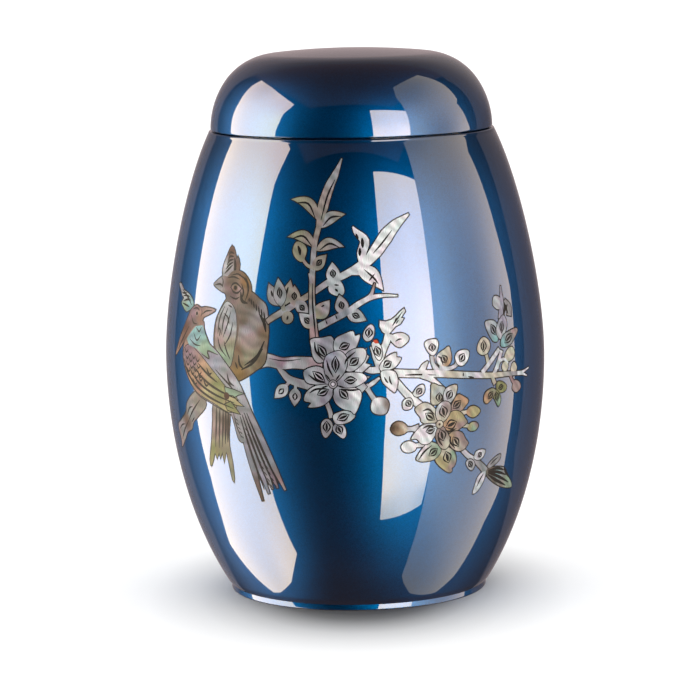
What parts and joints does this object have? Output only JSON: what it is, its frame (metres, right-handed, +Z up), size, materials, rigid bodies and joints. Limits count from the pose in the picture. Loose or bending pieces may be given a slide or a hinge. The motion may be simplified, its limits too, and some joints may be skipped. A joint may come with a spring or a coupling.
{
  "type": "funeral urn",
  "caption": "Barrel-shaped funeral urn with a flat foot, a lift-off domed lid and mother-of-pearl birds and blossoms inlaid in its front.",
  "frame": {"origin": "centre of the flat underside, on the surface that the urn stands on", "axes": "+Z up through the lid's crown, -Y out of the front with the inlaid picture, +X to the right as seen from the front"},
  "size_m": [0.18, 0.1799, 0.2568],
  "materials": {
    "lacquer": "high gloss",
    "mother_of_pearl": "polished under clear lacquer"
  },
  "bodies": {
    "root": {"body": "lacquer", "lid": "lacquer", "pearl_bird_front": "mother_of_pearl", "pearl_bird_rear": "mother_of_pearl", "pearl_tail_rear": "mother_of_pearl", "pearl_perch": "mother_of_pearl", "pearl_bough": "mother_of_pearl", "pearl_blossom_left": "mother_of_pearl", "pearl_stem": "mother_of_pearl", "pearl_twig_left": "mother_of_pearl", "pearl_twig_right": "mother_of_pearl", "pearl_twig_middle": "mother_of_pearl", "pearl_sprig_centre": "mother_of_pearl", "pearl_branch_right": "mother_of_pearl", "pearl_blossom_right": "mother_of_pearl", "pearl_sprig_low": "mother_of_pearl"}
  },
  "joints": []
}
